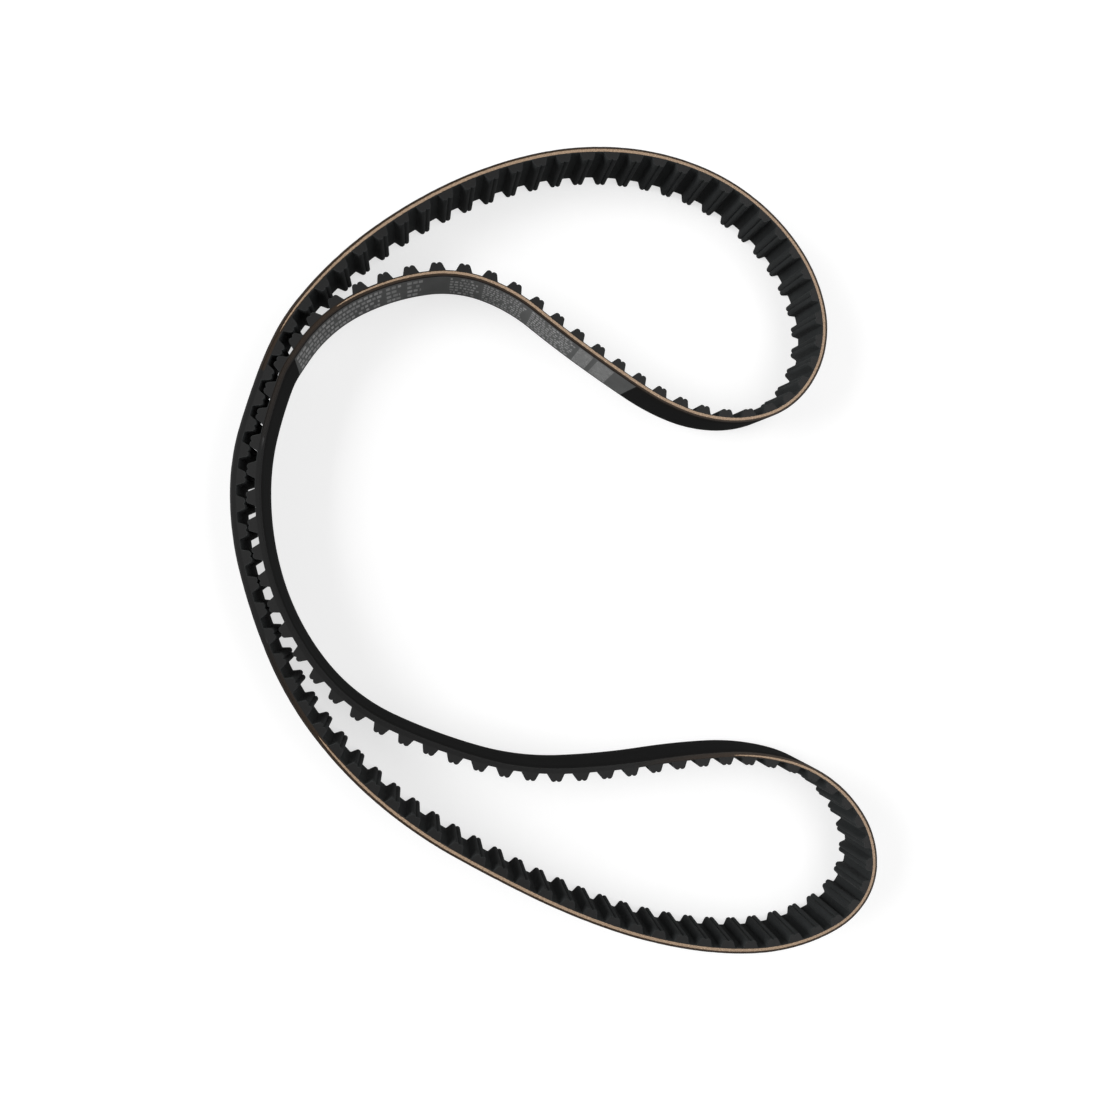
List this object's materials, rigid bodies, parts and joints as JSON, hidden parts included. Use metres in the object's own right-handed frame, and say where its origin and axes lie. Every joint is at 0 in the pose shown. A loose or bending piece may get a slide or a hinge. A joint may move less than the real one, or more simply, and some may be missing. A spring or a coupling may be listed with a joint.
{
  "type": "timing belt",
  "caption": "Endless rubber timing belt with notched round-topped teeth, cord line on its cut edge and a printed film on its back, standing on edge folded into a C.",
  "frame": {"origin": "on the table, under the centre of the belt's bounding box", "axes": "+Z across the belt's width, up from the edge it stands on; +Y along the C's height, waist at -X, mouth facing +X"},
  "size_m": [0.245, 0.3084, 0.02],
  "materials": {
    "body_rubber": "ground matte",
    "tooth_rubber": "matte",
    "nylon_facing": "fine weave",
    "tension_cord": "cut fibre",
    "print_film": "matte print"
  },
  "bodies": {
    "root": {"backing_rubber": "body_rubber", "cord_s_bottom_cut": "tension_cord", "cord_s_top_cut": "tension_cord", "cord_s_turn_01": "tension_cord", "cord_s_turn_03": "tension_cord", "cord_s_turn_05": "tension_cord", "cord_s_turn_07": "tension_cord", "cord_s_turn_09": "tension_cord", "cord_s_turn_11": "tension_cord", "cord_s_turn_13": "tension_cord", "cord_z_bottom_cut": "tension_cord", "cord_z_top_cut": "tension_cord", "cord_z_turn_02": "tension_cord", "cord_z_turn_04": "tension_cord", "cord_z_turn_06": "tension_cord", "cord_z_turn_08": "tension_cord", "cord_z_turn_10": "tension_cord", "cord_z_turn_12": "tension_cord", "facing_fabric": "nylon_facing", "tooth_cores": "tooth_rubber", "transfer_film": "print_film"}
  },
  "joints": []
}
